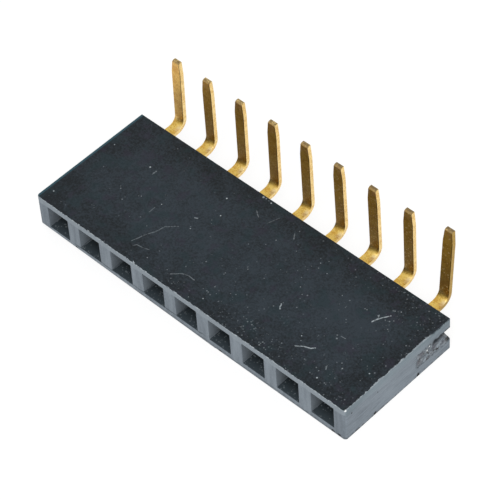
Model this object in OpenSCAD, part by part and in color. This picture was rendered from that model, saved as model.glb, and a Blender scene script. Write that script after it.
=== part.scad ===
// Right-angle socket header strip: a moulded housing with one folded sheet contact in each way.
// Millimetres. The row runs along X, the mating face looks towards -Y and the tails turn up to +Z.
// The origin is the centre of the housing's underside, which the strip rests on.

/* [Row] */
// Number of ways along the row
ways = 9; // [2:1:20]
// Distance from one way to the next
pitch = 2.54; // [2.2:0.02:4]

/* [Housing] */
// Depth from the mating face to the back
body_depth = 8.5; // [7.5:0.1:12]
// Height from the underside to the top face
body_height = 2.5; // [2.2:0.05:4]
// Wall left outside the last socket at each end
end_wall = 0.83; // [0.7:0.01:2]
// Radius of the worn upright corners of the mating face
worn_corner_r = 0.2; // [0.05:0.05:0.5]
// Height of the wear on the mating face's lower edge at the left end, from where it tapers to nothing
foot_wear = 0.25; // [0.05:0.05:0.3]
// Length of the worn lower edge from the left end
foot_wear_length = 14; // [4:1:20]

/* [Sockets] */
// Width of a socket along the row
socket_w = 1.64; // [1.4:0.02:1.8]
// Height of a socket, centred in the housing
socket_h = 1.65; // [1.3:0.05:1.7]
// Depth of the spring chamber behind the mating face
chamber_depth = 5.6; // [4.5:0.1:6.2]

/* [Rear slots] */
// Height of a rear slot's floor above the underside
slot_floor = 0.7; // [0.6:0.01:0.85]
// Step at each side of the chamber that stops the contact
stop_ledge = 0.1; // [0.05:0.01:0.15]
// Clearance between a slot's side and the contact's channel
side_clearance = 0.05; // [0.02:0.01:0.08]
// Clearance between a slot's ceiling and the contact's channel
headroom = 0.03; // [0.01:0.01:0.1]

/* [Torn end] */
// Depth of the torn recess that the cut left in the right end, at the back
torn_depth = 0.43; // [0.1:0.01:0.5]
// Length of the torn recess from the back towards the mating face
torn_length = 2.75; // [1:0.05:4]

/* [Contact sheet] */
// Thickness of the sheet
sheet_t = 0.26; // [0.15:0.01:0.28]
// Height of the folded channel that sits in the rear slot
channel_h = 1.01; // [0.9:0.01:1.1]
// Outside radius of the channel's folds
fold_r = 0.32; // [0.3:0.01:0.4]
// Distance from the back of the channel to the back of the housing
channel_recess = 0.6; // [0.2:0.05:1]
// Length of each lug that grips the slot's side
lug_length = 0.5; // [0.2:0.05:0.7]
// Height of each lug
lug_h = 0.35; // [0.2:0.05:0.5]

/* [Springs] */
// Distance from the mating face to the spring tips
spring_setback = 1.2; // [1:0.05:2]
// Distance from the spring tips to the point where they grip
grip_back = 0.9; // [0.5:0.05:1.5]
// Gap between the two springs where they grip
grip_gap = 0.4; // [0.3:0.01:0.6]
// Gap between the two spring tips
tip_gap = 0.9; // [0.6:0.01:1]
// Height of a spring at its tip
spring_tip_h = 0.5; // [0.3:0.05:0.6]

/* [Tails] */
// Width of a tail along the row
tail_w = 0.7; // [0.5:0.01:0.9]
// Length of the neck where the channel narrows to the tail
neck_length = 0.45; // [0.2:0.05:0.6]
// Distance from the back of the housing to the front of an upright leg
leg_standoff = 1.4; // [1:0.01:3]
// Inside radius of the bend
bend_r = 0.55; // [0.2:0.05:0.8]
// Height of the tail tips above the underside
tip_height = 6.75; // [4:0.05:12]
// Length of the tapered end of a tail
taper_length = 0.9; // [0.3:0.05:1.5]
// Width of the flat end of a tail
tip_w = 0.52; // [0.3:0.01:0.6]
// Size of the bevel on the front edge of the tip
tip_bevel = 0.09; // [0.02:0.01:0.12]
// Angle in degrees that each tail leans towards the back, from left to right
lean_angles = [0.5, 0.7, 0.6, 0.8, 0.4, 0.4, 0, 0.4, 6.5]; // [-8:0.1:8]
// Angle in degrees that each tail sways towards the right, from left to right
sway_angles = [1.2, -0.5, -0.2, -0.5, -0.9, -1.7, -1.4, -1.1, -2]; // [-6:0.1:6]

/* [Hidden] */
$fn = 48;
// how far a cutting shape runs past the surface it cuts
over = 0.5;

body_length = (ways - 1) * pitch + socket_w + 2 * end_wall;
face_y = -body_depth / 2;
back_y = body_depth / 2;
end_x = body_length / 2;
socket_floor = (body_height - socket_h) / 2;

// the contact is pushed in from the back until its channel meets the end of the chamber
stop_y = face_y + chamber_depth;
channel_w = socket_w + 2 * stop_ledge;
channel_back_y = back_y - channel_recess;
slot_w = channel_w + 2 * side_clearance;
slot_h = channel_h + headroom;
sheet_top = slot_floor + channel_h;
sheet_under = sheet_top - sheet_t;
fold_start_z = sheet_top - fold_r;

// the springs run from the channel's sides to the grip point and flare to their tips
spring_tip_y = face_y + spring_setback;
grip_y = spring_tip_y + grip_back;
spring_root_x = socket_w / 2 - side_clearance - sheet_t / 2;
grip_x = (grip_gap + sheet_t) / 2;
spring_tip_x = (tip_gap + sheet_t) / 2;
sweep_steps = 8;
flare_steps = 4;
joggle = 0.5;

// the tail bends about a line above the sheet
leg_y = back_y + leg_standoff;
bend_y = leg_y - bend_r;
bend_z = sheet_top + bend_r;
leg_length = tip_height - bend_z;

// the torn recess in plan, as ratios of its depth and of its length from the back
torn_edge_ratios = [[1, 0], [0.85, 0.07], [0.5, 0.14], [0.38, 0.3],
    [0.4, 0.46], [0.28, 0.62], [0.3, 0.78], [0, 1]];

function way_x(i) = (i - (ways + 1) / 2) * pitch;
// a way past the end of a list of angles has a straight tail
function angle_of(angles, i) = i <= len(angles) ? angles[i - 1] : 0;
function ease(s) = (1 - cos(180 * s)) / 2;

// a strip of even width along a line of points, with mitred corners
function unit(v) = v / norm(v);
function heading(p, i) = unit(p[min(i + 1, len(p) - 1)] - p[min(i, len(p) - 2)]);
function mitre(p, i) =
    let (a = heading(p, max(i - 1, 0)), b = heading(p, i), m = unit(a + b))
    [-m.y, m.x] / (m * b);
function strip(p, w) = concat(
    [for (i = [0:len(p) - 1]) p[i] + mitre(p, i) * w / 2],
    [for (i = [len(p) - 1:-1:0]) p[i] - mitre(p, i) * w / 2]);

// centre line of one spring in plan, from the channel's side to the spring's tip
spring_line = concat(
    [[(channel_w - sheet_t) / 2, stop_y + joggle]],
    [for (k = [0:sweep_steps]) let (s = k / sweep_steps)
        [spring_root_x + (grip_x - spring_root_x) * ease(s), stop_y + (grip_y - stop_y) * s]],
    [for (k = [1:flare_steps]) let (s = k / flare_steps)
        [grip_x + (spring_tip_x - grip_x) * s * s, grip_y + (spring_tip_y - grip_y) * s]]);

// lays a shape drawn in (y, z) across the row, centred on x = 0
module across(w) {
    rotate([90, 0, 90]) linear_extrude(height = w, center = true) children();
}

// stands a shape drawn in (x, z) up and runs it from y = y0 to y = y1
module along(y0, y1) {
    translate([0, y1, 0]) rotate([90, 0, 0]) linear_extrude(height = y1 - y0) children();
}

// a block from one corner to the opposite corner
module block(from, to) {
    translate(from) cube(to - from);
}

// a doorway shape with rounded top corners, standing on the line y = 0
module arch(w, h, r) {
    translate([-w / 2, 0]) square([w, h - r]);
    translate([r - w / 2, 0]) square([w - 2 * r, h]);
    for (side = [-1, 1]) translate([side * (w / 2 - r), h - r]) circle(r);
}

// spring chamber and rear slot of one way
module cavity() {
    block([-socket_w / 2, face_y - over, socket_floor],
          [socket_w / 2, stop_y, socket_floor + socket_h]);
    block([-slot_w / 2, stop_y, slot_floor],
          [slot_w / 2, back_y + over, slot_floor + slot_h]);
}

// what is left in the end face of the slot of the next way, torn open when the strip was cut
module torn_recess() {
    edge = [for (p = torn_edge_ratios) [end_x - p.x * torn_depth, back_y - p.y * torn_length]];
    outside = [[end_x + over, back_y - torn_length], [end_x + over, back_y + over],
               [end_x - torn_depth, back_y + over]];
    translate([0, 0, slot_floor]) linear_extrude(height = slot_h) polygon(concat(edge, outside));
}

// what wear has taken off the upright corners of the mating face
module worn_corners() {
    r = worn_corner_r;
    for (side = [0, 1]) mirror([side, 0, 0])
        translate([-end_x, face_y, -over]) linear_extrude(height = body_height + 2 * over)
        difference() {
            translate([-over, -over]) square(r + over);
            translate([r, r]) circle(r);
        }
}

// what wear has taken off the lower edge of the mating face, most at the left end
module worn_foot() {
    taper = atan(foot_wear / foot_wear_length);
    translate([-end_x, face_y, foot_wear]) rotate([0, taper, 0]) rotate([-45, 0, 0])
        translate([-over, -body_height, -body_height])
        cube([foot_wear_length + 2 * over, 2 * body_height, body_height]);
}

module housing() {
    color([0.18, 0.2, 0.22])
    difference() {
        block([-end_x, face_y, 0], [end_x, back_y, body_height]);
        for (i = [1:ways]) translate([way_x(i), 0, 0]) cavity();
        torn_recess();
        worn_corners();
        worn_foot();
    }
}

// sheet folded down at both sides, open below
module channel() {
    translate([0, 0, slot_floor]) along(stop_y, channel_back_y) difference() {
        arch(channel_w, channel_h, fold_r);
        translate([0, -over]) arch(channel_w - 2 * sheet_t, channel_h - sheet_t + over, fold_r - sheet_t);
    }
}

// wedge-shaped lugs raised on the channel's sides, which bear on the sides of the slot
module lugs() {
    wall_x = channel_w / 2;
    back = channel_back_y - lug_length / 2;
    for (side = [0, 1]) mirror([side, 0, 0])
        translate([0, 0, slot_floor + (channel_h - fold_r - lug_h) / 2])
        linear_extrude(height = lug_h)
        polygon([[wall_x - sheet_t / 2, back], [wall_x - sheet_t / 2, back - lug_length],
                 [wall_x, back - lug_length], [slot_w / 2, back - lug_length / 2], [slot_w / 2, back]]);
}

// two springs standing on edge that close on the mating pin from both sides
module springs() {
    intersection() {
        for (side = [0, 1]) mirror([side, 0, 0])
            translate([0, 0, slot_floor]) linear_extrude(height = channel_h)
            polygon(strip(spring_line, sheet_t));
        across(2 * channel_w) polygon([
            [spring_tip_y - over, fold_start_z - spring_tip_h], [spring_tip_y - over, fold_start_z],
            [channel_back_y, fold_start_z], [channel_back_y, slot_floor], [stop_y, slot_floor],
            [spring_tip_y, fold_start_z - spring_tip_h]]);
    }
}

// flat run of the tail, with the neck that narrows out of the channel
module tail_run() {
    flat_x = channel_w / 2 - fold_r;
    translate([0, 0, sheet_under]) linear_extrude(height = sheet_t) polygon([
        [-tail_w / 2, bend_y], [-tail_w / 2, channel_back_y + neck_length], [-flat_x, channel_back_y],
        [-flat_x, channel_back_y - sheet_t], [flat_x, channel_back_y - sheet_t], [flat_x, channel_back_y],
        [tail_w / 2, channel_back_y + neck_length], [tail_w / 2, bend_y]]);
}

// the bend, from the flat run up to a leg that leans back
module tail_bend(lean) {
    outer = bend_r + sheet_t;
    translate([0, bend_y, bend_z]) across(tail_w) intersection() {
        difference() {
            circle(outer);
            circle(bend_r);
        }
        polygon([[0, 0], [0, -2 * outer], [2 * outer, -2 * outer],
                 [2 * outer * cos(lean), -2 * outer * sin(lean)]]);
    }
}

// upright leg with a tapered end and a bevelled tip
module tail_leg(lean, sway) {
    outline = [[-tail_w / 2, 0], [tail_w / 2, 0], [tail_w / 2, leg_length - taper_length],
               [tip_w / 2, leg_length], [-tip_w / 2, leg_length], [-tail_w / 2, leg_length - taper_length]];
    translate([0, bend_y, bend_z]) rotate([-lean, 0, 0]) difference() {
        along(bend_r, bend_r + sheet_t) polygon([for (p = outline) [p.x + p.y * tan(sway), p.y]]);
        across(2 * channel_w) polygon([
            [bend_r - tip_bevel, leg_length], [bend_r, leg_length - tip_bevel], [bend_r + tip_bevel, leg_length],
            [bend_r, leg_length + tip_bevel]]);
    }
}

module contact(i) {
    color([0.83, 0.66, 0.34])
    translate([way_x(i), 0, 0]) union() {
        channel();
        lugs();
        springs();
        tail_run();
        tail_bend(angle_of(lean_angles, i));
        tail_leg(angle_of(lean_angles, i), angle_of(sway_angles, i));
    }
}

housing();
for (i = [1:ways]) contact(i);
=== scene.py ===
"""Looks of the right-angle socket header strip: finishes, wear, torn plastic, light and camera.

Lengths are written in millimetres and turned into metres where Blender takes them.
The part's frame: the row runs along X, the mating face looks towards -Y, the tails point up along Z,
and the strip rests on z = 0.
"""

import math

import bpy
from mathutils import Matrix, Vector, noise


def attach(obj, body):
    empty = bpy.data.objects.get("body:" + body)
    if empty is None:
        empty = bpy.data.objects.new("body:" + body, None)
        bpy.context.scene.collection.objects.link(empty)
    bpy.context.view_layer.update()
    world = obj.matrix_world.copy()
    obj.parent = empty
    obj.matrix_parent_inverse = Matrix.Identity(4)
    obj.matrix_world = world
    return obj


MM = 0.001

# Camera: where it looks, from where, and how it is turned
AIM_MM = Vector((0.421, 0.583, 2.697))
CAMERA_AZIMUTH = 46.738
CAMERA_ELEVATION = 48.509
CAMERA_ROLL = -4.332
CAMERA_DISTANCE_MM = 143.741
FOCAL_PX = 2596.0
IMAGE_PX = 500
SENSOR_MM = 36.0
HALF_PIXEL = 0.5

# Light
WORLD_LEVEL = 0.72
KEY_LEVEL = 0.4
KEY_FROM_MM = (90, -110, 150)
KEY_SIZE_MM = 110
FLOOR_SIZE_MM = 900.0
FLOOR_DROP_MM = 0.01
FLOOR_SHOWN = 0.26
FLOOR_GLOW = 0.8

# The housing's outer faces, the inner side of its end walls, and the distance from socket to socket
FACE_Y = -4.25
BACK_Y = 4.25
END_X = 11.81
TOP_Z = 2.5
INSIDE_X = 11.2
PITCH = 2.54

# Ranges over which one finish passes into the next: how far a face looks along an axis, and places
LOOKS_ALONG = (0.55, 0.95)
AT_END_X = (INSIDE_X, INSIDE_X + 0.1)
NEAR_TOP_Z = (2.3, 2.4)
ABOVE_SOCKET_FLOOR_Z = (1.0, 1.2)
AFTER_FIRST_TAIL_X = (-9.4, -9.2)
BEFORE_LAST_TAIL_X = (9.2, 9.4)
BEND_Y = (5.05, 5.42)
ABOVE_RUN_Z = (2.1, 2.3)
WORN_TIP_Z = (5.9, 6.5)
CHAMFER_Z = (6.25, 6.40)
CUT_END_Z = (6.40, 6.50)

# Moulded plastic
SKIN_DARK = (0.0045, 0.0080, 0.0110)
SKIN_LIGHT = (0.0242, 0.0350, 0.0460)
EDGE_TEAL = (0.034, 0.105, 0.140)
SKIN_TEAL = (0.0100, 0.0270, 0.0330)
SKIN_VIOLET = (0.0230, 0.0200, 0.0360)
# Upright faces: matt, and painted paler than the skin, standing in for the light they reflect
LIT_MATT_DARK = (0.142, 0.168, 0.196)
LIT_MATT_LIGHT = (0.252, 0.292, 0.332)
MATT_TEAL = (0.170, 0.245, 0.265)
RAIL_COLOUR = (0.275, 0.318, 0.352)
# Painted shade along the bottom edges
FOOT_SHADE_COLOUR = (0.070, 0.082, 0.094)
FLOOR_OF_SOCKET = (0.048, 0.063, 0.074)
# Socket walls further in: painted darker, as shade
SHADED_INSIDE_COLOUR = (0.095, 0.110, 0.122)
# Painted shade on the socket floors further in
SOCKET_SHADE = (0.0085, 0.0105, 0.0125)
WEB_LINE_COLOUR = (0.030, 0.045, 0.055)
SPECK_COLOUR = (0.40, 0.45, 0.48)
# Painted highlight of the glints
GLINT_COLOUR = (0.85, 0.88, 0.88)
PIT_COLOUR = (0.012, 0.014, 0.016)
TORN_DARK = (0.100, 0.118, 0.138)
TORN_SHADE = (0.070, 0.076, 0.096)
TORN_LIGHT = (0.250, 0.292, 0.330)
# Painted shadow: under the lip of the torn end, and along the end face's bottom edge
DEEP_SHADOW_COLOUR = (0.010, 0.017, 0.024)

# Gold flash and the alloy under it; the three multipliers below multiply the gold's own colour
GOLD_LIGHT = (0.93, 0.70, 0.31)
GOLD_DARK = (0.74, 0.48, 0.16)
# Tarnish and painted shade on the fronts of the tails
TARNISH_AND_SHADE = (0.70, 0.54, 0.20)
DULL = (0.49, 0.43, 0.24)
# Painted light on the runs: brighter and yellower
RUN_LIGHT_TINT = (1.08, 1.02, 0.62)
# Painted highlight at each bend
BEND_HIGHLIGHT = (1.0, 0.80, 0.42)
# Painted shade along the rolled edge of each front
EDGE_SHADE_COLOUR = (0.050, 0.036, 0.008)
COPPER = (0.62, 0.33, 0.14)
STAIN_COLOUR = (0.22, 0.12, 0.035)
CORE_COLOUR = (0.30, 0.21, 0.10)

# Edges
HOUSING_BEVEL_MM = 0.035
CONTACT_BEVEL_MM = 0.05
# Radius used to find the rolled edges for the painted shade line
EDGE_SHADE_MM = 0.11

# Scratches in the top face: points along each in x and y, width, and strength from 0 to 1
SCRATCHES = [
    ([(6.79, -2.68), (7.19, -2.39), (7.52, -2.26), (7.71, -2.07)], 0.034, 0.75),
    ([(7.42, -2.30), (7.56, -2.25), (7.71, -2.07)], 0.040, 1.0),
    ([(-5.22, -3.12), (-4.98, -2.33), (-4.72, -1.80), (-4.55, -1.14), (-4.00, -0.64)], 0.034, 0.26),
    ([(-4.92, -3.32), (-4.79, -3.14), (-4.39, -3.09), (-4.02, -2.96)], 0.030, 0.26),
    ([(-1.89, -3.47), (-1.37, -2.99), (-1.04, -2.88), (-0.54, -2.89)], 0.032, 0.34),
    ([(9.00, -2.53), (9.14, -2.79)], 0.034, 0.50),
    ([(1.31, 3.21), (1.53, 2.90)], 0.030, 0.40),
    ([(-3.76, 0.41), (-3.60, 0.51)], 0.040, 0.55),
    ([(4.23, -0.99), (4.31, -1.18), (4.42, -1.34)], 0.040, 0.85),
    ([(8.77, 1.29), (8.96, 1.75), (9.29, 2.28)], 0.040, 0.85),
    ([(8.77, 1.82), (8.90, 1.70), (8.80, 1.40)], 0.040, 0.80),
    ([(-7.94, 1.55), (-7.94, 1.25)], 0.050, 0.35),
    ([(-6.03, -0.48), (-6.01, -0.95)], 0.034, 0.20),
    ([(-0.38, 2.80), (-0.16, 3.50)], 0.034, 0.16),
    ([(-1.50, 3.10), (-1.31, 2.95), (-1.06, 2.80)], 0.034, 0.30),
    ([(8.20, -0.56), (8.50, -0.52)], 0.034, 0.34),
    ([(8.78, 1.90), (8.90, 1.66)], 0.034, 0.60),
]

# Larger pale specks in the top face: x, y, radius and strength from 0 to 1
SPECKS = [
    (-3.42, 2.67, 0.065, 1.0), (-2.77, 1.49, 0.055, 0.9), (-8.43, 1.55, 0.070, 0.9),
    (-11.26, 1.46, 0.050, 0.6), (-11.29, -3.38, 0.060, 0.8), (-5.90, -0.07, 0.045, 0.8),
    (-7.22, -0.38, 0.045, 0.5), (-7.34, -0.46, 0.035, 0.4), (-8.54, -0.72, 0.045, 0.5),
    (-8.66, -0.60, 0.035, 0.4), (-3.38, -0.32, 0.045, 0.7), (-3.46, -0.20, 0.035, 0.4),
    (-2.92, 0.93, 0.035, 0.4), (-1.27, 4.05, 0.060, 1.0), (-1.91, 4.10, 0.090, 0.7),
    (-1.71, 4.12, 0.060, 0.6), (3.86, 2.57, 0.045, 0.6), (4.64, 2.24, 0.040, 0.6),
    (6.33, 1.62, 0.040, 0.5), (4.19, 0.57, 0.040, 0.6), (9.23, 2.67, 0.045, 0.6),
    (9.53, 2.84, 0.045, 0.7), (9.78, 1.45, 0.040, 0.5), (8.14, -0.82, 0.070, 0.4),
    (11.07, -1.47, 0.055, 0.8), (6.59, -1.93, 0.045, 0.9), (6.79, -2.20, 0.035, 0.6),
    (0.74, -3.54, 0.055, 0.6), (9.16, -3.51, 0.065, 0.9), (9.75, -2.16, 0.055, 0.6),
    (9.49, -1.90, 0.045, 0.5), (-3.68, -3.44, 0.045, 0.5),
]

# Clusters of scuffs near the front edge: x, y, half length and half width
SCUFFS = [
    (4.15, -2.98, 0.65, 0.24), (1.85, -3.32, 0.45, 0.25), (-1.10, -3.75, 0.60, 0.30),
    (6.05, -3.35, 0.45, 0.40),
]

# Painted glints, that is small highlight spots, and dark pits on the upright faces: x, y, z and radius
GLINTS = [(11.76, -4.16, 2.44, 0.085)]
PITS = [
    (11.81, 1.60, 0.16, 0.17), (11.81, -1.90, 0.14, 0.16), (11.81, -1.66, 1.72, 0.05),
    (11.81, -3.72, 1.90, 0.06), (2.54, -4.25, 0.08, 0.13), (-8.80, -4.25, 0.22, 0.10),
    (10.90, -4.25, 0.10, 0.13), (11.35, -4.25, 0.14, 0.12),
]

# The same for the torn part, laid on the end plane: y, z and radius
TORN_GLINTS = [(2.36, 1.52, 0.085), (2.53, 1.68, 0.060), (2.34, 1.80, 0.045)]
TORN_PITS = [
    (2.33, 1.38, 0.075), (2.39, 1.28, 0.090), (2.46, 1.16, 0.085), (3.98, 1.05, 0.190),
    (4.04, 0.92, 0.150), (2.87, 1.03, 0.090), (3.13, 0.92, 0.110), (3.24, 0.87, 0.080),
    (1.72, 1.36, 0.080), (1.66, 1.18, 0.070), (2.06, 1.52, 0.070), (2.36, 0.80, 0.080),
]
TORN_SHADES = [
    (1.86, 1.66, 0.26), (1.62, 1.14, 0.26), (2.91, 1.34, 0.24), (3.66, 1.03, 0.18), (2.36, 0.80, 0.16),
]
TORN_LEDGE = [(3.20, 1.15, 0.13), (3.38, 1.22, 0.14)]

# Marks on the torn part lie on its rough surface, carried inward from the end plane along this slant
INWARD_SLANT = (1.0, -0.94, 1.55)

# Burrs on the mating face's upper edge: x, width and height
BURRS = [(-3.96, 0.16, 0.25), (-8.33, 0.22, 0.08), (-7.58, 0.26, 0.12)]

# The ragged line along the same edge: how far from the corners it ends, its height, its step and its seed
RAGGED_MARGIN = 0.25
RAGGED_HEIGHT = 0.026
RAGGED_STEP = 0.05
RAGGED_SEED = 1.7


class Tree:
    """Adds nodes to a node tree, one call for each; an input may be a number, a colour or a socket."""

    def __init__(self, tree):
        self.tree = tree
        tree.nodes.clear()

    def node(self, kind, *inputs, **settings):
        made = self.tree.nodes.new(kind)
        for name, value in settings.items():
            setattr(made, name, value)
        for slot, value in enumerate(inputs):
            self.set(made.inputs[slot], value)
        return made

    def set(self, socket, value):
        if value is None:
            return
        if isinstance(value, bpy.types.NodeSocket):
            self.tree.links.new(value, socket)
            return
        if socket.type == "RGBA" and len(value) == 3:
            value = (*value, 1.0)
        socket.default_value = value

    def math(self, operation, *inputs, clamp=False):
        return self.node("ShaderNodeMath", *inputs, operation=operation, use_clamp=clamp).outputs[0]

    def vector(self, operation, *inputs):
        return self.node("ShaderNodeVectorMath", *inputs, operation=operation)

    def ramp(self, value, low, high, out_low=0.0, out_high=1.0):
        """A smooth step from out_low to out_high as the value goes from low to high."""
        made = self.node("ShaderNodeMapRange", value, low, high, out_low, out_high)
        made.interpolation_type = "SMOOTHSTEP"
        return made.outputs[0]

    def mix(self, factor, a, b):
        """A colour between a and b."""
        made = self.node("ShaderNodeMix", data_type="RGBA")
        self.set(made.inputs[0], factor)
        self.set(made.inputs[6], a)
        self.set(made.inputs[7], b)
        return made.outputs[2]

    def noise(self, place, scale, detail=2.0, roughness=0.5):
        made = self.node("ShaderNodeTexNoise")
        self.set(made.inputs["Vector"], place)
        made.inputs["Scale"].default_value = scale
        made.inputs["Detail"].default_value = detail
        made.inputs["Roughness"].default_value = roughness
        return made.outputs[0]

    def stretched(self, place, along):
        """The place with each axis scaled, so that a texture runs long in one direction."""
        return self.vector("MULTIPLY", place, along).outputs[0]

    def within(self, value, low, high, soft):
        """1 where the value lies between low and high, with soft ends."""
        start = self.ramp(value, low - soft, low + soft)
        end = self.ramp(value, high - soft, high + soft, 1.0, 0.0)
        return self.math("MULTIPLY", start, end)

    def times(self, *values):
        product = values[0]
        for value in values[1:]:
            product = self.math("MULTIPLY", product, value)
        return product


def new_material(name):
    """An empty node material and its tree."""
    material = bpy.data.materials.new(name)
    material.use_nodes = True
    return material, Tree(material.node_tree)


def place_in_mm(tree):
    """The point on the surface in millimetres of the part's frame, and its three coordinates."""
    coordinates = tree.node("ShaderNodeTexCoord").outputs["Object"]
    scaled = tree.vector("SCALE", coordinates)
    scaled.inputs["Scale"].default_value = 1 / MM
    place = scaled.outputs[0]
    axes = tree.node("ShaderNodeSeparateXYZ", place).outputs
    return place, axes[0], axes[1], axes[2]


def facing(tree):
    """How far the surface faces along x, y and z."""
    normal = tree.node("ShaderNodeNewGeometry").outputs["Normal"]
    axes = tree.node("ShaderNodeSeparateXYZ", normal).outputs
    return axes[0], axes[1], axes[2]


def finish_surface(tree, colour, roughness, height, bump_mm, metallic=0.0, specular=0.5):
    """Joins colour, roughness and bump to a surface shader."""
    shader = tree.node("ShaderNodeBsdfPrincipled")
    tree.set(shader.inputs["Base Color"], colour)
    tree.set(shader.inputs["Roughness"], roughness)
    shader.inputs["Metallic"].default_value = metallic
    shader.inputs["Specular IOR Level"].default_value = specular
    bump = tree.node("ShaderNodeBump")
    bump.inputs["Distance"].default_value = bump_mm * MM
    bump.inputs["Strength"].default_value = 1.0
    tree.set(bump.inputs["Height"], height)
    tree.set(shader.inputs["Normal"], bump.outputs[0])
    tree.node("ShaderNodeOutputMaterial", shader.outputs[0])


def stroke(tree, place, points, width):
    """1 on a thin line through the points, in x and y, and 0 away from it."""
    nearest = None
    for start, end in zip(points, points[1:]):
        from_start = tree.vector("SUBTRACT", place, (*start, 0.0)).outputs[0]
        step = Vector((end[0] - start[0], end[1] - start[1], 0.0))
        share = tree.vector("DOT_PRODUCT", from_start, tuple(step / step.length_squared)).outputs["Value"]
        share = tree.math("MULTIPLY", share, 1.0, clamp=True)
        foot = tree.vector("SCALE", tuple(step))
        tree.set(foot.inputs["Scale"], share)
        distance = tree.vector("DISTANCE", from_start, foot.outputs[0]).outputs["Value"]
        nearest = distance if nearest is None else tree.math("MINIMUM", nearest, distance)
    return tree.ramp(nearest, 0.3 * width, 1.2 * width, 1.0, 0.0)


def scattered_specks(tree, place, scale, radius, share):
    """Small round specks in a share of the cells of a random pattern, each with its own strength."""
    cells = tree.node("ShaderNodeTexVoronoi")
    tree.set(cells.inputs["Vector"], place)
    cells.inputs["Scale"].default_value = scale
    distance = tree.math("DIVIDE", cells.outputs["Distance"], scale)
    chance = tree.node("ShaderNodeSeparateColor", cells.outputs["Color"]).outputs
    size = tree.math("MULTIPLY", chance[1], radius)
    inside = tree.math("SUBTRACT", size, distance)
    spot = tree.ramp(inside, 0.0, 0.012)
    kept = tree.math("LESS_THAN", chance[0], share)
    return tree.times(spot, kept, tree.math("ADD", 0.3, tree.math("MULTIPLY", chance[2], 0.7)))


def top_marks(tree, place, x, y):
    """Scratches and specks in the top face."""
    flat = tree.stretched(place, (1.0, 1.0, 0.0))
    wobble = tree.node("ShaderNodeTexNoise")
    tree.set(wobble.inputs["Vector"], place)
    wobble.inputs["Scale"].default_value = 5.0
    offset = tree.vector("SUBTRACT", wobble.outputs["Color"], (0.5, 0.5, 0.5)).outputs[0]
    offset = tree.stretched(offset, (0.08, 0.08, 0.0))
    ragged = tree.vector("ADD", flat, offset).outputs[0]
    broken = tree.ramp(tree.noise(place, 9.0, 2.0), 0.36, 0.56, 0.25, 1.0)
    marks = None
    for points, width, strength in SCRATCHES:
        mark = tree.times(stroke(tree, ragged, points, width), broken, strength)
        marks = mark if marks is None else tree.math("MAXIMUM", marks, mark)
    for speck_x, speck_y, radius, strength in SPECKS:
        distance = tree.vector("DISTANCE", flat, (speck_x, speck_y, 0.0)).outputs["Value"]
        marks = tree.math("MAXIMUM", marks, tree.ramp(distance, 0.4 * radius, radius, strength, 0.0))
    share = speck_share(tree, place, ragged, x, y)
    dense = tree.math("MULTIPLY", share, 1.5)
    fine = tree.math("MULTIPLY", scattered_specks(tree, flat, 8.0, 0.056, dense), 0.27)
    medium = tree.math("MULTIPLY", scattered_specks(tree, flat, 3.6, 0.055, share), 0.36)
    scattered = tree.math("MAXIMUM", fine, medium)
    return tree.math("MAXIMUM", marks, scattered)


def speck_share(tree, place, ragged, x, y):
    """The share of cells with a speck: larger at the front right, the rear right and in the scuffs."""
    front_right = tree.times(tree.ramp(y, -3.2, -2.2, 0.24, 0.0), tree.ramp(x, -3.0, 1.5))
    rear_right = tree.times(tree.ramp(x, 8.0, 10.5, 0.0, 0.42), tree.ramp(y, 1.2, 3.2))
    everywhere = tree.ramp(tree.math("SUBTRACT", x, y), -8.0, 14.0, 0.02, 0.14)
    share = tree.math("ADD", everywhere, front_right)
    rear_edge = tree.times(tree.ramp(x, 5.5, 8.0, 0.0, 0.60), tree.ramp(y, 3.4, 3.8))
    share = tree.math("ADD", share, tree.math("ADD", rear_right, rear_edge))
    share = tree.math("MULTIPLY", share, tree.ramp(tree.noise(place, 0.9, 3.0), 0.40, 0.60, 0.25, 1.5))
    for scuff_x, scuff_y, half_length, half_width in SCUFFS:
        from_middle = tree.vector("SUBTRACT", ragged, (scuff_x, scuff_y, 0.0)).outputs[0]
        from_middle = tree.stretched(from_middle, (1 / half_length, 1 / half_width, 0.0))
        distance = tree.vector("LENGTH", from_middle).outputs["Value"]
        share = tree.math("ADD", share, tree.ramp(distance, 0.5, 1.2, 0.75, 0.0))
    return share


def skin_colour(tree, place, x, y):
    """Dark moulded skin, clouded, a little paler away from its edges, with faint cool and warm patches."""
    cloud = tree.ramp(tree.noise(place, 0.5, 4.0, 0.6), 0.30, 0.70, -0.20, 0.20)
    mottle = tree.ramp(tree.noise(place, 2.6, 3.0, 0.6), 0.30, 0.70, -0.10, 0.10)
    fine = tree.ramp(tree.noise(place, 9.0, 2.0, 0.7), 0.30, 0.70, -0.40, 0.40)
    middle = tree.times(tree.ramp(tree.math("ABSOLUTE", y), 1.6, 4.2, 0.46, 0.0),
                        tree.ramp(tree.math("ABSOLUTE", x), 8.5, 11.6, 1.0, 0.15))
    tone = tree.math("ADD", tree.math("ADD", cloud, mottle), tree.math("ADD", fine, middle))
    haze = tree.times(tree.within(x, 4.8, 9.6, 0.8), tree.within(y, -1.6, 1.3, 0.6), 0.12)
    tone = tree.math("ADD", tone, haze)
    tone = tree.math("ADD", tone, tree.ramp(x, -11.6, -8.5, 0.18, 0.30), clamp=True)
    skin = tree.mix(tone, SKIN_DARK, SKIN_LIGHT)
    teal = tree.ramp(tree.noise(place, 0.8, 2.0), 0.52, 0.66, 0.0, 0.45)
    skin = tree.mix(teal, skin, SKIN_TEAL)
    elsewhere = tree.vector("ADD", place, (7.0, 3.0, 1.0)).outputs[0]
    violet = tree.ramp(tree.noise(elsewhere, 1.3, 2.0), 0.56, 0.70, 0.0, 0.45)
    skin = tree.mix(violet, skin, SKIN_VIOLET)
    left_edge = tree.ramp(x, 0.12 - END_X, 0.20 - END_X, 0.6, 0.0)
    return tree.mix(left_edge, skin, EDGE_TEAL)


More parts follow.
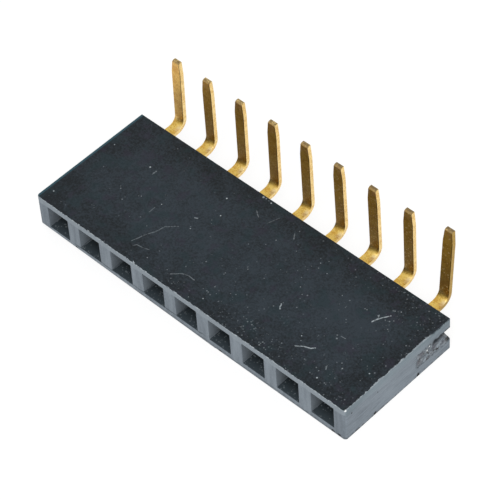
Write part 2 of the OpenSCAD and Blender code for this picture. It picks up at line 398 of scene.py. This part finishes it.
def front_colour(tree, place, x, z):
    """Matt face with upright streaks, darker below the sockets with painted shade at the bottom edge, and
    paler along its upper edge.
    """
    streaks = tree.noise(tree.stretched(place, (3.2, 1.0, 0.35)), 1.0, 3.0, 0.6)
    grain = tree.noise(place, 11.0, 2.0, 0.6)
    tone = tree.math("ADD", tree.math("MULTIPLY", streaks, 0.65), tree.math("MULTIPLY", grain, 0.35))
    tone = tree.math("ADD", tone, tree.ramp(tree.math("ABSOLUTE", x), 10.5, 11.3, 0.0, -0.12))
    matt = tree.mix(tree.ramp(tone, 0.20, 0.74), LIT_MATT_DARK, LIT_MATT_LIGHT)
    wavy_z = tree.math("ADD", z, tree.ramp(tree.noise(place, 2.2, 3.0), 0.25, 0.75, -0.05, 0.05))
    rail = tree.ramp(wavy_z, 2.02, 2.14, 0.0, 0.65)
    matt = tree.mix(rail, matt, RAIL_COLOUR)
    # A thin dark line just above the bottom edge: painted shade of that edge
    foot_shade_line = tree.math("MULTIPLY", tree.within(wavy_z, 0.11, 0.17, 0.03), 0.75)
    matt = tree.mix(foot_shade_line, matt, FOOT_SHADE_COLOUR)
    web_line = tree.times(tree.within(wavy_z, 0.44, 0.51, 0.02), tree.within(x, -8.9, 1.35, 0.3), 0.8)
    matt = tree.mix(web_line, matt, WEB_LINE_COLOUR)
    # Darker strip at the very bottom: painted shade where the face meets the floor
    foot = tree.ramp(wavy_z, 0.02, 0.08, 0.5, 0.0)
    matt = tree.mix(foot, matt, FOOT_SHADE_COLOUR)
    broken = tree.ramp(tree.noise(place, 3.5, 3.0, 0.7), 0.42, 0.60)
    # A broken pale band along the upper edge: partly wear, partly a painted edge highlight
    worn_and_lit_edge = tree.times(tree.ramp(wavy_z, 2.42, 2.50), broken, 0.6)
    return tree.mix(worn_and_lit_edge, matt, SPECK_COLOUR)


def end_colour(tree, place, x, y, z):
    """Sanded end face: lines along its length, ragged where it meets the top; painted shade at its foot and
    lip.
    """
    lines = tree.noise(tree.stretched(place, (1.0, 0.9, 14.0)), 1.0, 4.0, 0.7)
    broad = tree.noise(tree.stretched(place, (1.0, 0.5, 1.6)), 1.0, 2.0)
    grain = tree.noise(place, 12.0, 2.0, 0.6)
    tone = tree.math("ADD", tree.math("MULTIPLY", lines, 0.75), tree.math("MULTIPLY", broad, 0.25))
    tone = tree.math("ADD", tone, tree.ramp(grain, 0.0, 1.0, -0.06, 0.06))
    middle = tree.ramp(tree.math("ABSOLUTE", y), 1.0, 4.0, 0.06, -0.03)
    tone = tree.math("ADD", tone, middle)
    matt = tree.mix(tree.ramp(tone, 0.26, 0.70), LIT_MATT_DARK, LIT_MATT_LIGHT)
    matt = tree.mix(tree.ramp(z, 1.7, 2.5, 0.0, 0.35), matt, MATT_TEAL)
    nicks = tree.noise(tree.stretched(place, (1.0, 1.7, 0.6)), 2.0, 3.0, 0.7)
    ragged_z = tree.math("ADD", z, tree.ramp(nicks, 0.3, 0.7, -0.07, 0.07))
    at_tear = tree.math("MINIMUM", x, y)
    bitten_z = tree.math("ADD", ragged_z, tree.ramp(at_tear, 2.6, 2.9, -0.08, 0.04))
    dark_rim = tree.ramp(bitten_z, 2.45, 2.49, 0.0, 0.9)
    matt = tree.mix(dark_rim, matt, SKIN_LIGHT)
    # Darker strip at the bottom: painted shade where the face meets the floor
    foot = tree.ramp(ragged_z, 0.02, 0.13, 0.9, 0.0)
    matt = tree.mix(foot, matt, FOOT_SHADE_COLOUR)
    # Painted shadow along the bottom edge, strongest towards the front
    undercut_shade = tree.times(tree.ramp(ragged_z, 0.06, 0.13, 1.0, 0.0), tree.ramp(y, -1.7, -1.2, 0.85, 0.25))
    matt = tree.mix(undercut_shade, matt, DEEP_SHADOW_COLOUR)
    # Painted shadow at the lower corner of the lip
    lip_corner_shadow = tree.times(tree.ramp(at_tear, 3.60, 3.80), tree.within(z, 1.70, 1.80, 0.03), 0.8)
    return tree.mix(lip_corner_shadow, matt, DEEP_SHADOW_COLOUR)


def spots(tree, place, places):
    """1 at each of the places and 0 away from them, with ragged borders."""
    ragged = tree.ramp(tree.noise(place, 9.0, 3.0, 0.7), 0.3, 0.7, -0.35, 0.35)
    found = None
    for spot_x, spot_y, spot_z, radius in places:
        distance = tree.vector("DISTANCE", place, (spot_x, spot_y, spot_z)).outputs["Value"]
        share = tree.math("ADD", tree.math("DIVIDE", distance, radius), ragged)
        spot = tree.ramp(share, 0.55, 1.0, 1.0, 0.0)
        found = spot if found is None else tree.math("MAXIMUM", found, spot)
    return found


def torn_mask(tree, place, y, z):
    """1 on the torn part of the end face, with a ragged border."""
    ragged = tree.ramp(tree.noise(place, 4.5, 3.0, 0.65), 0.3, 0.7, -0.16, 0.16)
    along = tree.ramp(tree.math("ADD", y, ragged), 1.30, 1.60)
    upper = tree.ramp(tree.math("ADD", z, tree.math("MULTIPLY", ragged, 0.4)), 1.80, 1.85, 1.0, 0.0)
    lower = tree.ramp(tree.math("ADD", z, ragged), 0.72, 0.90)
    return tree.times(along, upper, lower)


def torn_colour(tree, place, y, z):
    """Torn plastic: mottled grey, and a nearly black painted shadow in the gap under the lip."""
    ridges = tree.noise(place, 4.2, 5.0, 0.72)
    torn = tree.mix(tree.ramp(ridges, 0.40, 0.66), TORN_DARK, TORN_LIGHT)
    ragged = tree.ramp(ridges, 0.3, 0.7, -0.10, 0.10)
    under_lip_shadow = tree.times(tree.ramp(tree.math("ADD", z, ragged), 1.42, 1.56),
                           tree.ramp(tree.math("ADD", y, ragged), 2.76, 2.90))
    return tree.mix(under_lip_shadow, torn, DEEP_SHADOW_COLOUR)


def marked_torn_colour(tree, place, x):
    """Torn plastic with its shades, pits, glints and the pale ledge."""
    depth = tree.math("SUBTRACT", END_X, x)
    carried = tree.vector("SCALE", INWARD_SLANT)
    tree.set(carried.inputs["Scale"], depth)
    laid = tree.vector("ADD", place, carried.outputs[0]).outputs[0]
    axes = tree.node("ShaderNodeSeparateXYZ", laid).outputs
    torn = torn_colour(tree, laid, axes[1], axes[2])
    for places, share, mark_colour in ((TORN_SHADES, 0.85, TORN_SHADE), (TORN_LEDGE, 0.8, TORN_LIGHT),
                                       (TORN_PITS, 1.0, PIT_COLOUR), (TORN_GLINTS, 1.0, GLINT_COLOUR)):
        on_plane = [(END_X, *mark) for mark in places]
        torn = tree.mix(tree.math("MULTIPLY", spots(tree, laid, on_plane), share), torn, mark_colour)
    return torn


def socket_floor_colour(tree, place, y):
    """Floor of a socket: darker inwards with painted shade, with fine dust."""
    deep_shade = tree.ramp(y, FACE_Y + 0.10, FACE_Y + 1.00, 0.0, 0.65)
    tone = tree.mix(deep_shade, FLOOR_OF_SOCKET, SOCKET_SHADE)
    dust = scattered_specks(tree, place, 9.0, 0.065, 0.60)
    return tree.mix(tree.math("MULTIPLY", dust, 0.30), tone, SPECK_COLOUR)


def level_colour(tree, place, x, y, z, normal_z):
    """Level faces: the marked skin of the top, and the floors of the sockets."""
    outer_top = tree.times(tree.ramp(normal_z, *LOOKS_ALONG), tree.ramp(z, *NEAR_TOP_Z))
    skin = skin_colour(tree, place, x, y)
    marks = tree.math("MULTIPLY", top_marks(tree, place, x, y), outer_top)
    skin = tree.mix(marks, skin, SPECK_COLOUR)
    floor_tone = socket_floor_colour(tree, place, y)
    lower_floor = tree.times(tree.ramp(normal_z, *LOOKS_ALONG),
                             tree.ramp(z, *ABOVE_SOCKET_FLOOR_Z, 1.0, 0.0))
    return tree.mix(lower_floor, skin, floor_tone)


def upright_colour(tree, place, x, y, z, at_end, end_face, torn):
    """Upright faces: the mating face and socket walls, and the sanded end face with its tear."""
    # Painted light on the socket walls at the mouth, fading to painted shade further in
    lit_near_mouth = tree.ramp(y, FACE_Y - 0.30, FACE_Y + 1.50, 1.0, 0.0)
    at_back = tree.ramp(y, BACK_Y - 0.3, BACK_Y - 0.1)
    # Where upright faces take the matt colours, which are painted paler as lit
    matt_and_lit = tree.math("MAXIMUM", lit_near_mouth, tree.math("MAXIMUM", at_end, at_back))
    upright = tree.mix(matt_and_lit, SHADED_INSIDE_COLOUR, front_colour(tree, place, x, z))
    upright = tree.mix(end_face, upright, end_colour(tree, place, x, y, z))
    upright = tree.mix(torn, upright, torn_colour(tree, place, y, z))
    upright = tree.mix(spots(tree, place, PITS), upright, PIT_COLOUR)
    return tree.mix(spots(tree, place, GLINTS), upright, GLINT_COLOUR)


def moulding_material():
    """Black moulded plastic: satin skin, matt where it was cut or abraded, and there painted paler as lit.
    """
    material, tree = new_material("moulded_plastic")
    place, x, y, z = place_in_mm(tree)
    normal_x, _, normal_z = facing(tree)
    flat = tree.ramp(tree.math("ABSOLUTE", normal_z), *LOOKS_ALONG)
    at_end = tree.ramp(tree.math("ABSOLUTE", x), *AT_END_X)
    end_face = tree.times(at_end, tree.ramp(tree.math("ABSOLUTE", normal_x), *LOOKS_ALONG))
    torn = tree.times(torn_mask(tree, place, y, z), tree.ramp(x, *AT_END_X))

    upright = upright_colour(tree, place, x, y, z, at_end, end_face, torn)
    level = level_colour(tree, place, x, y, z, normal_z)
    chips = tree.ramp(tree.noise(place, 3.0, 4.0, 0.75), 0.3, 0.7, -0.06, 0.06)
    chipped_x = tree.math("ADD", x, chips)
    at_rim = tree.ramp(chipped_x, END_X - 0.08, END_X - 0.05)
    worn_rim = tree.times(at_rim, tree.ramp(y, 2.5, 2.8, 1.0, 0.0))
    on_top = tree.times(flat, tree.math("SUBTRACT", 1.0, worn_rim))
    colour = tree.mix(on_top, upright, level)

    grain = tree.noise(place, 14.0, 2.0)
    smear = tree.noise(place, 1.6, 3.0)
    satin = tree.math("ADD", 0.30, tree.math("MULTIPLY", smear, 0.14))
    roughness = tree.math("ADD", tree.ramp(flat, 0.0, 1.0, 0.30, 0.0), satin)
    roughness = tree.math("ADD", roughness, tree.math("MULTIPLY", grain, 0.08))
    lines = tree.noise(tree.stretched(place, (1.0, 0.6, 12.0)), 1.0, 3.0)
    height = tree.math("ADD", grain, tree.times(lines, end_face, 2.0))
    height = tree.math("ADD", height, tree.times(tree.noise(place, 6.0, 4.0), torn, 14.0))
    finish_surface(tree, colour, roughness, height, 0.004, specular=0.24)
    return material


def torn_material():
    """The torn plastic in the end of the strip."""
    material, tree = new_material("torn_plastic")
    place, x, _, _ = place_in_mm(tree)
    grain = tree.noise(place, 16.0, 3.0, 0.7)
    roughness = tree.ramp(grain, 0.3, 0.7, 0.25, 0.6)
    colour = marked_torn_colour(tree, place, x)
    finish_surface(tree, colour, roughness, grain, 0.012, specular=0.4)
    return material


def flash_material():
    """Thin pale plastic of burrs and ragged edges."""
    material, tree = new_material("burr_plastic")
    place, _, _, _ = place_in_mm(tree)
    grain = tree.noise(place, 9.0, 3.0, 0.6)
    colour = tree.mix(tree.ramp(grain, 0.35, 0.65), LIT_MATT_DARK, SPECK_COLOUR)
    finish_surface(tree, colour, tree.ramp(grain, 0.3, 0.7, 0.4, 0.6), grain, 0.01, specular=0.3)
    return material


def tarnished_and_shaded(tree, colour, front, x, z):
    """The colour with fronts browned by tarnish and painted shade, darker towards the bend; first tail
    painted paler as lit.
    """
    shade = tree.vector("SCALE", tree.vector("MULTIPLY", colour, TARNISH_AND_SHADE).outputs[0])
    # The first tail painted paler as lit, the other fronts painted darker towards the bend as shade
    first_tail_lit = tree.ramp(x, *AFTER_FIRST_TAIL_X, 1.2, 0.0)
    shade_by_height = tree.ramp(z, 2.6, 5.0, 0.66, 1.0)
    tree.set(shade.inputs["Scale"], tree.math("MAXIMUM", first_tail_lit, shade_by_height))
    share = tree.math("MULTIPLY", front, tree.ramp(first_tail_lit, 0.0, 1.2, 1.0, 0.72))
    return tree.mix(share, colour, shade.outputs[0])


def edge_shade_line(tree, front, z):
    """1 on the painted shade line along the rolled edge of each front."""
    rounded = tree.node("ShaderNodeBevel", samples=8)
    rounded.inputs["Radius"].default_value = EDGE_SHADE_MM * MM
    edge_x = tree.node("ShaderNodeSeparateXYZ", rounded.outputs[0]).outputs[0]
    return tree.times(tree.within(edge_x, 0.10, 0.80, 0.06), front, tree.ramp(z, 1.7, 2.4), 0.85)


def lit_run_and_highlight(tree, colour, on_run, x, y):
    """The colour with runs behind the housing painted brighter as lit, and a painted highlight at each
    bend.
    """
    # The runs painted brighter and yellower, as lit from above
    colour = tree.mix(on_run, colour, tree.vector("MULTIPLY", colour, RUN_LIGHT_TINT).outputs[0])
    way = tree.math("MULTIPLY", tree.math("ROUND", tree.math("DIVIDE", x, PITCH)), PITCH)
    in_way = tree.math("SUBTRACT", x, way)
    at_bend = tree.within(y, *BEND_Y, 0.12)
    # Painted highlight at each bend
    bend_highlight = tree.times(on_run, tree.ramp(in_way, 0.0, 0.28), at_bend, 0.95)
    return tree.mix(bend_highlight, colour, BEND_HIGHLIGHT)


def worn_tip(tree, colour, place, tip, x, z, normal_z):
    """The colour with browner chamfers and scraped cut ends."""
    chamfer = tree.times(tree.ramp(z, *CHAMFER_Z), tree.within(normal_z, 0.30, 0.78, 0.08), 0.55)
    colour = tree.mix(chamfer, colour, CORE_COLOUR)
    scrape = tree.math("SUBTRACT", tree.noise(place, 8.0, 3.0, 0.7), tree.ramp(x, -5.0, 4.0, 0.0, 0.10))
    scraped = tree.mix(tree.ramp(scrape, 0.42, 0.66), CORE_COLOUR, GOLD_LIGHT)
    return tree.mix(tip, colour, scraped)


def gold_material():
    """Gold flash over a stamped copper alloy: browner on the front, with the bare alloy at the cut tips."""
    material, tree = new_material("gold_flash")
    place, x, y, z = place_in_mm(tree)
    normal_x, normal_y, normal_z = facing(tree)
    front = tree.times(tree.ramp(normal_y, -0.9, -0.4, 1.0, 0.0), tree.ramp(z, 1.6, 2.4))
    on_run = tree.times(tree.ramp(normal_z, 0.3, 0.6), tree.ramp(z, *ABOVE_RUN_Z, 1.0, 0.0))
    tip = tree.times(tree.ramp(z, *CUT_END_Z), tree.ramp(normal_z, 0.60, 0.85))
    last_side = tree.times(tree.ramp(x, *BEFORE_LAST_TAIL_X), tree.ramp(normal_x, 0.5, 0.8))

    cloud = tree.noise(place, 2.4, 4.0, 0.6)
    grain = tree.noise(place, 20.0, 2.0)
    grit = tree.ramp(tree.noise(place, 11.0, 2.0, 0.7), 0.3, 0.7, -0.20, 0.20)
    colour = tree.mix(tree.ramp(tree.math("ADD", cloud, grit), 0.32, 0.60), GOLD_DARK, GOLD_LIGHT)
    colour = tarnished_and_shaded(tree, colour, front, x, z)
    colour = tree.mix(last_side, colour, tree.vector("MULTIPLY", colour, DULL).outputs[0])
    stains = tree.ramp(tree.noise(place, 6.0, 4.0, 0.7), 0.58, 0.72, 0.0, 0.55)
    stains = tree.math("MULTIPLY", stains, tree.ramp(on_run, 0.0, 1.0, 1.0, 0.2))
    colour = tree.mix(stains, colour, STAIN_COLOUR)
    colour = tree.mix(edge_shade_line(tree, front, z), colour, EDGE_SHADE_COLOUR)
    colour = lit_run_and_highlight(tree, colour, on_run, x, y)
    patches = tree.ramp(tree.noise(place, 5.0, 3.0, 0.7), 0.40, 0.60)
    worn_front = tree.times(front, tree.ramp(z, *WORN_TIP_Z), patches, 0.6)
    colour = tree.mix(worn_front, colour, COPPER)
    to_the_right = tree.ramp(x, -2.0, 6.0, 0.3, 0.8)
    flecks = tree.times(scattered_specks(tree, place, 7.0, 0.074, 0.66), front, to_the_right)
    colour = tree.mix(flecks, colour, GOLD_LIGHT)
    colour = worn_tip(tree, colour, place, tip, x, z, normal_z)

    roughness = tree.math("ADD", 0.30, tree.math("MULTIPLY", grain, 0.10))
    roughness = tree.math("ADD", roughness, tree.math("MULTIPLY", front, 0.10))
    roughness = tree.math("ADD", roughness, tree.math("MULTIPLY", tip, 0.15))
    height = tree.math("ADD", tree.math("MULTIPLY", grain, 0.4), tree.math("MULTIPLY", cloud, 1.5))
    finish_surface(tree, colour, roughness, height, 0.005, metallic=0.97)
    return material


def soften_edges(node, width_mm, segments):
    """Small rounded edges on a solid of the frame."""
    weld = node.modifiers.new("join_faces", "WELD")
    weld.merge_threshold = 0.0005 * MM
    flatten = node.modifiers.new("join_flat_faces", "DECIMATE")
    flatten.decimate_type = "DISSOLVE"
    flatten.angle_limit = math.radians(0.5)
    bevel = node.modifiers.new("rounded_edges", "BEVEL")
    bevel.width = width_mm * MM
    bevel.segments = segments
    bevel.limit_method = "ANGLE"
    bevel.angle_limit = math.radians(30)
    bevel.harden_normals = True


def dress(node, material):
    """Gives a solid of the frame its finish."""
    node.data.materials.clear()
    node.data.materials.append(material)


def add_piece(name, vertices, faces, material, smooth=False):
    """A mesh in millimetres that belongs to the moulding and moves with the part."""
    mesh = bpy.data.meshes.new(name)
    mesh.from_pydata([tuple(MM * c for c in v) for v in vertices], [], faces)
    mesh.validate()
    mesh.materials.append(material)
    piece = bpy.data.objects.new(name, mesh)
    bpy.context.scene.collection.objects.link(piece)
    for face in mesh.polygons:
        face.use_smooth = smooth
    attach(piece, "root")
    return piece


def follow(stations, value):
    """The height of a line drawn through (place, height) stations, at a place."""
    for (start, low), (end, high) in zip(stations, stations[1:]):
        if value <= end:
            return low + (high - low) * max(0.0, value - start) / (end - start)
    return stations[-1][1]


# The torn end: depth of its recess and height of the material left in it, from front to back
RECESS_DEPTH = [
    (1.50, 0.0), (2.10, 0.129), (2.55, 0.120), (2.99, 0.172), (3.43, 0.163), (3.87, 0.215),
    (4.06, 0.366), (4.25, 0.430),
]
TORN_TOP = [
    (1.50, 1.78), (2.20, 1.78), (2.60, 1.68), (3.00, 1.54), (3.40, 1.40), (3.80, 1.24), (4.05, 1.08),
    (4.25, 0.92),
]
RECESS_LOW_Z = 0.70
RECESS_HIGH_Z = 1.74
TORN_START_Y = 1.52
TORN_END_Y = 4.245
TORN_BACK_DEPTH = 0.44
TORN_STEPS_Y = 90
TORN_STEPS_Z = 36


def torn_depth(y, z):
    """How deep the torn surface lies below the end face."""
    floor = follow(RECESS_DEPTH, y)
    rise = min(1.0, max(0.0, (z - follow(TORN_TOP, y) + 0.10) / 0.14))
    rise = rise * rise * (3 - 2 * rise)
    shallow = 0.40 * min(floor, 0.17)
    rough = noise.fractal(Vector((y * 2.4, z * 2.8, 0.7)), 0.8, 2.1, 5)
    ridge = 1 - 2.4 * abs(noise.noise(Vector((y * 3.4, z * 4.6, 3.1))))
    relief = (0.075 * rough - 0.045 * max(0.0, ridge)) * (1 - 0.6 * rise)
    depth = shallow + (floor - shallow) * rise + relief
    near_low = max(0.0, 1 - (z - RECESS_LOW_Z) / 0.12)
    depth = depth * (1 - near_low) + 0.004 * near_low
    return min(floor + 0.01, max(0.004, depth))


def make_torn_end(material):
    """Rough plastic left in the recess of the end face."""
    vertices = []
    faces = []
    across = TORN_STEPS_Z + 1
    for i in range(TORN_STEPS_Y + 1):
        y = TORN_START_Y + (TORN_END_Y - TORN_START_Y) * i / TORN_STEPS_Y
        for j in range(across):
            z = RECESS_LOW_Z + (RECESS_HIGH_Z - RECESS_LOW_Z) * j / TORN_STEPS_Z
            vertices.append((END_X - torn_depth(y, z), y, z))
    for i in range(TORN_STEPS_Y):
        for j in range(TORN_STEPS_Z):
            a = i * across + j
            faces.append((a, a + across, a + across + 1, a + 1))
    rear = TORN_STEPS_Y * across
    inner = len(vertices)
    for j in range(across):
        z = RECESS_LOW_Z + (RECESS_HIGH_Z - RECESS_LOW_Z) * j / TORN_STEPS_Z
        vertices.append((END_X - TORN_BACK_DEPTH, TORN_END_Y, z))
    for j in range(TORN_STEPS_Z):
        faces.append((rear + j, inner + j, inner + j + 1, rear + j + 1))
    return add_piece("torn_plastic_end", vertices, faces, material, smooth=True)


def make_burr(name, x, width, height, material):
    """A small pointed burr that stands on the mating face's upper edge."""
    low = TOP_Z - 0.05
    front = FACE_Y - 0.004
    back = FACE_Y + 0.09
    vertices = [(x - width / 2, front, low), (x + width / 2, front, low), (x + 0.3 * width, back, low),
                (x - 0.3 * width, back, low), (x - 0.06 * width, FACE_Y + 0.012, TOP_Z + height),
                (x + 0.12 * width, FACE_Y + 0.02, TOP_Z + 0.7 * height)]
    faces = [(0, 1, 5, 4), (1, 2, 5), (2, 3, 4, 5), (3, 0, 4), (3, 2, 1, 0)]
    return add_piece(name, vertices, faces, material)


def make_ragged_edge(name, start, end, outward, material):
    """A thin ragged line of plastic along an upper edge, from start to end in x and y."""
    start = Vector((*start, TOP_Z))
    end = Vector((*end, TOP_Z))
    outward = Vector((*outward, 0.0))
    steps = int((end - start).length / RAGGED_STEP)
    vertices = []
    faces = []
    for i in range(steps + 1):
        place = start + (end - start) * i / steps
        rough = noise.fractal(Vector((i * 0.17, RAGGED_SEED, 0.0)), 0.8, 2.0, 3)
        rise = RAGGED_HEIGHT * max(0.0, 0.10 + rough)
        out = 0.010 * max(0.0, rough)
        vertices.append(tuple(place + outward * 0.002 - Vector((0, 0, 0.05))))
        vertices.append(tuple(place + outward * (0.004 + out) + Vector((0, 0, rise - 0.012))))
        vertices.append(tuple(place - outward * 0.035 + Vector((0, 0, 0.5 * rise - 0.006))))
        vertices.append(tuple(place - outward * 0.07 - Vector((0, 0, 0.004))))
    for i in range(steps):
        a = 4 * i
        for k in range(3):
            faces.append((a + k, a + 4 + k, a + 5 + k, a + 1 + k))
    return add_piece(name, vertices, faces, material, smooth=True)


def make_floor():
    """A plain pale floor, which keeps the object's shadow and shows nearly white."""
    half = FLOOR_SIZE_MM * MM / 2
    drop = -FLOOR_DROP_MM * MM
    mesh = bpy.data.meshes.new("floor")
    mesh.from_pydata([(-half, -half, drop), (half, -half, drop), (half, half, drop), (-half, half, drop)],
                     [], [(0, 1, 2, 3)])
    floor = bpy.data.objects.new("floor", mesh)
    bpy.context.scene.collection.objects.link(floor)
    material, tree = new_material("pale_floor")
    seen = seen_directly(tree)
    lit = tree.node("ShaderNodeBsdfDiffuse", (0.86, 0.86, 0.86))
    shown_lit = tree.node("ShaderNodeBsdfDiffuse", (FLOOR_SHOWN,) * 3)
    glow = tree.node("ShaderNodeEmission", (1.0, 1.0, 1.0), FLOOR_GLOW)
    shown = tree.node("ShaderNodeAddShader", shown_lit.outputs[0], glow.outputs[0])
    either = tree.node("ShaderNodeMixShader", seen, lit.outputs[0], shown.outputs[0])
    tree.node("ShaderNodeOutputMaterial", either.outputs[0])
    mesh.materials.append(material)


def seen_directly(tree):
    """1 for what the camera sees, also in metal, and 0 for light that falls on the object."""
    path = tree.node("ShaderNodeLightPath").outputs
    glossy = tree.math("MAXIMUM", path["Is Camera Ray"], path["Is Glossy Ray"])
    return tree.math("MAXIMUM", glossy, path["Is Transmission Ray"])


def make_world():
    """Even studio light, seen as plain white behind the object."""
    world = bpy.data.worlds.new("studio")
    bpy.context.scene.world = world
    world.use_nodes = True
    tree = Tree(world.node_tree)
    path = tree.node("ShaderNodeLightPath").outputs
    light = tree.node("ShaderNodeBackground", (1.0, 1.0, 1.0), WORLD_LEVEL)
    white = tree.node("ShaderNodeBackground", (1.0, 1.0, 1.0), 1.0)
    seen = tree.math("MAXIMUM", path["Is Camera Ray"], path["Is Transmission Ray"])
    either = tree.node("ShaderNodeMixShader", seen, light.outputs[0], white.outputs[0])
    tree.node("ShaderNodeOutputWorld", either.outputs[0])


def make_softbox(name, from_mm, size_mm, level):
    """A square lamp; at level 1 it shows a face turned to it in its own colour."""
    place = Vector(from_mm) * MM
    distance = place.length
    data = bpy.data.lights.new(name, "AREA")
    data.shape = "SQUARE"
    data.size = size_mm * MM
    data.energy = level * math.pi * math.pi * distance * distance
    lamp = bpy.data.objects.new(name, data)
    lamp.location = place
    lamp.rotation_euler = place.to_track_quat("Z", "Y").to_euler()
    bpy.context.scene.collection.objects.link(lamp)


def make_camera():
    """The camera of the photo, as fitted to the housing's corners and sockets."""
    azimuth = math.radians(CAMERA_AZIMUTH)
    elevation = math.radians(CAMERA_ELEVATION)
    roll = math.radians(CAMERA_ROLL)
    back = Vector((math.sin(azimuth) * math.cos(elevation), -math.cos(azimuth) * math.cos(elevation),
                   math.sin(elevation)))
    level_right = Vector((math.cos(azimuth), math.sin(azimuth), 0))
    level_up = back.cross(level_right)
    right = math.cos(roll) * level_right + math.sin(roll) * level_up
    up = math.cos(roll) * level_up - math.sin(roll) * level_right
    offset = HALF_PIXEL * CAMERA_DISTANCE_MM / FOCAL_PX
    place = AIM_MM + back * CAMERA_DISTANCE_MM + (up - right) * offset
    data = bpy.data.cameras.new("camera")
    data.sensor_width = SENSOR_MM
    data.lens = FOCAL_PX * SENSOR_MM / IMAGE_PX
    data.clip_start = 1 * MM
    data.clip_end = 5
    camera = bpy.data.objects.new("camera", data)
    turn = Matrix((right, up, back)).transposed().to_4x4()
    camera.matrix_world = Matrix.Translation(place * MM) @ turn
    bpy.context.scene.collection.objects.link(camera)
    bpy.context.scene.camera = camera


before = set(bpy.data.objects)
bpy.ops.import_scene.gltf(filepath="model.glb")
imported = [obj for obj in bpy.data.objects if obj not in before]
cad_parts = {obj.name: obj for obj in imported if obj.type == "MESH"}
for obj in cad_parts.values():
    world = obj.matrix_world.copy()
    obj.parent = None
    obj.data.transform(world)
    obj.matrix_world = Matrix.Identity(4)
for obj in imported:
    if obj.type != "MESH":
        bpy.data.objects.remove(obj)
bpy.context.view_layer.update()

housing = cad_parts["housing"]
contacts = [node for name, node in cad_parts.items() if name != "housing"]

dress(housing, moulding_material())
soften_edges(housing, HOUSING_BEVEL_MM, 2)
gold = gold_material()
for contact in contacts:
    dress(contact, gold)
    soften_edges(contact, CONTACT_BEVEL_MM, 2)

make_torn_end(torn_material())
flash = flash_material()
for number, (burr_x, burr_width, burr_height) in enumerate(BURRS, 1):
    make_burr(f"edge_burr_{number}", burr_x, burr_width, burr_height, flash)
make_ragged_edge("ragged_front_edge", (RAGGED_MARGIN - END_X, FACE_Y), (END_X - RAGGED_MARGIN, FACE_Y),
                 (0.0, -1.0), flash)

make_floor()
make_world()
make_softbox("key", KEY_FROM_MM, KEY_SIZE_MM, KEY_LEVEL)
make_camera()
bpy.context.scene.view_settings.view_transform = "Standard"
